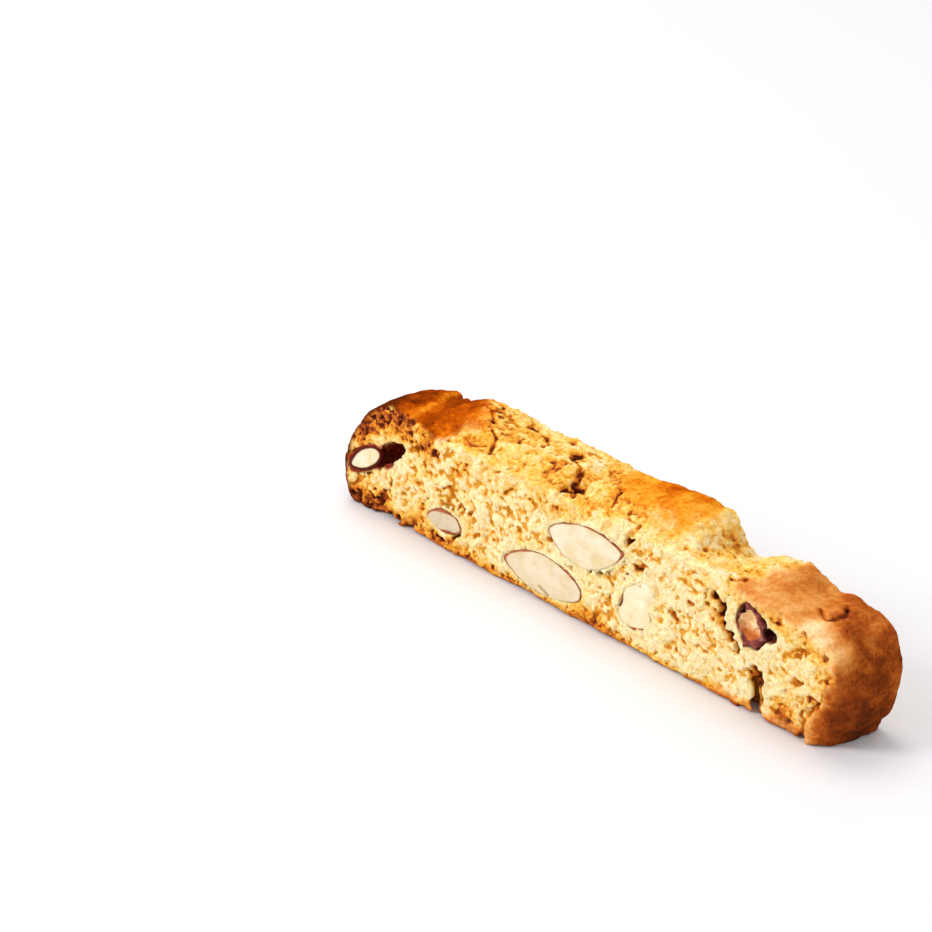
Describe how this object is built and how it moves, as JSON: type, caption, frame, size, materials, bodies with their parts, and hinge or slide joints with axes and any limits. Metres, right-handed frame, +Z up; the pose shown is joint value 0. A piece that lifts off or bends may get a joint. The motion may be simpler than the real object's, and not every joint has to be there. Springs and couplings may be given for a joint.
{
  "type": "almond biscotto",
  "caption": "One slice of a twice-baked almond biscuit loaf, with a browned crust, pale crumbly cut faces and cut almonds set into them.",
  "frame": {"origin": "middle of the flat bottom crust, where the slice rests", "axes": "+X along the slice's length, -Y out of the front cut face, +Z up through the top crust"},
  "size_m": [0.1307, 0.0186, 0.0286],
  "materials": {
    "baked_dough": "dry baked dough: pale crumb on the cut faces, golden to brown glossy crust over the top, ends and bottom",
    "almond": "smooth cream-coloured cut almond with a thin reddish-brown skin at its rim",
    "almond_skin": "dark, wrinkled, matt toasted almond skin"
  },
  "bodies": {
    "root": {"dough": "baked_dough", "almond_a": "almond", "almond_b": "almond", "almond_c": "almond", "almond_d": "almond", "almond_e": "almond", "almond_f": "almond_skin", "almond_g": "almond", "almond_h": "almond", "almond_i": "almond", "almond_j": "almond", "almond_k": "almond_skin"}
  },
  "joints": []
}
